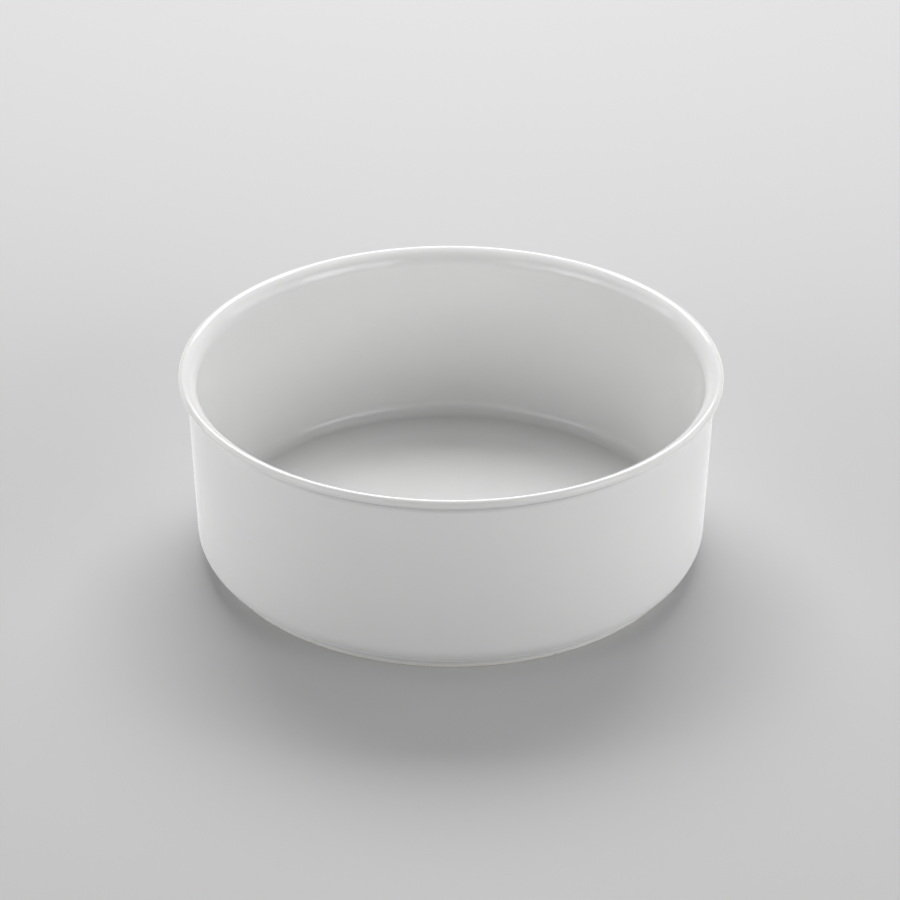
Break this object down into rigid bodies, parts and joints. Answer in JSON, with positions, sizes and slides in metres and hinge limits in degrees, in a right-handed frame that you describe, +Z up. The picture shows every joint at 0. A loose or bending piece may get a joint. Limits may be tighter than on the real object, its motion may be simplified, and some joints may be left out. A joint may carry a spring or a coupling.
{
  "type": "round baking dish",
  "caption": "Deep round porcelain baking dish with a near-upright wall, a small turned-out round lip, a rounded bottom corner and a low bare foot ring.",
  "frame": {"origin": "middle of the standing face, on the dish's axis", "axes": "+Z up along the dish's axis and out of its mouth; X and Y are alike, because the dish is round"},
  "size_m": [0.25, 0.25, 0.094],
  "materials": {
    "porcelain": "bare fired porcelain, matte, shown only on the standing ring",
    "white_glaze": "glossy white glaze"
  },
  "bodies": {
    "root": {"porcelain_body": "porcelain", "glaze_coat": "white_glaze", "underside_glaze": "white_glaze"}
  },
  "joints": []
}
